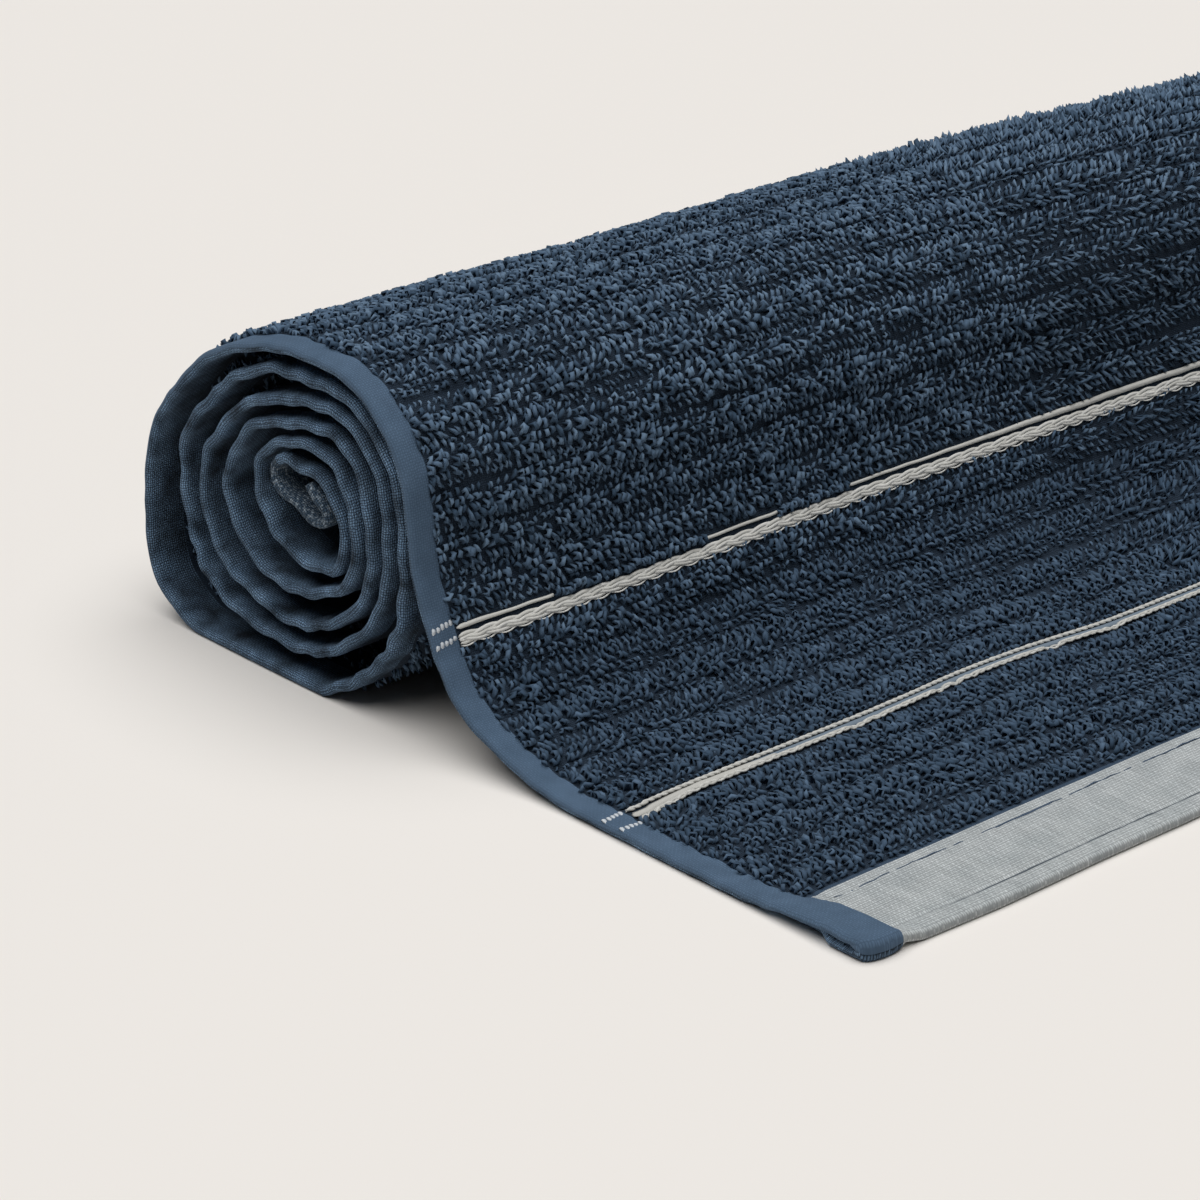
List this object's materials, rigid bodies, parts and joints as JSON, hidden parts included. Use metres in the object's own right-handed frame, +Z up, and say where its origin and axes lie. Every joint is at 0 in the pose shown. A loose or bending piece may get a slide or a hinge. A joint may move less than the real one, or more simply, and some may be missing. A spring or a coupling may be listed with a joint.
{
  "type": "rolled face towel",
  "caption": "Ribbed terry face towel, rolled up loosely with its striped end and flat-woven hem lying flat.",
  "frame": {"origin": "on the table under the middle of the towel's bounding box", "axes": "+Y along the roll's axis, across the towel, +X the way the loose end unrolls, +Z up"},
  "size_m": [0.2132, 0.5, 0.0741],
  "materials": {
    "terry_navy": "navy cotton terry, soft loops in ribs across the towel, matt",
    "side_hem_blue": "plain-woven blue-grey cotton side hem, flat and matt",
    "end_hem_grey": "light grey flat-woven cotton end hem, matt",
    "stripe_white": "off-white cotton stripe yarns, matt"
  },
  "bodies": {
    "root": {"towel": "terry_navy"}
  },
  "joints": []
}
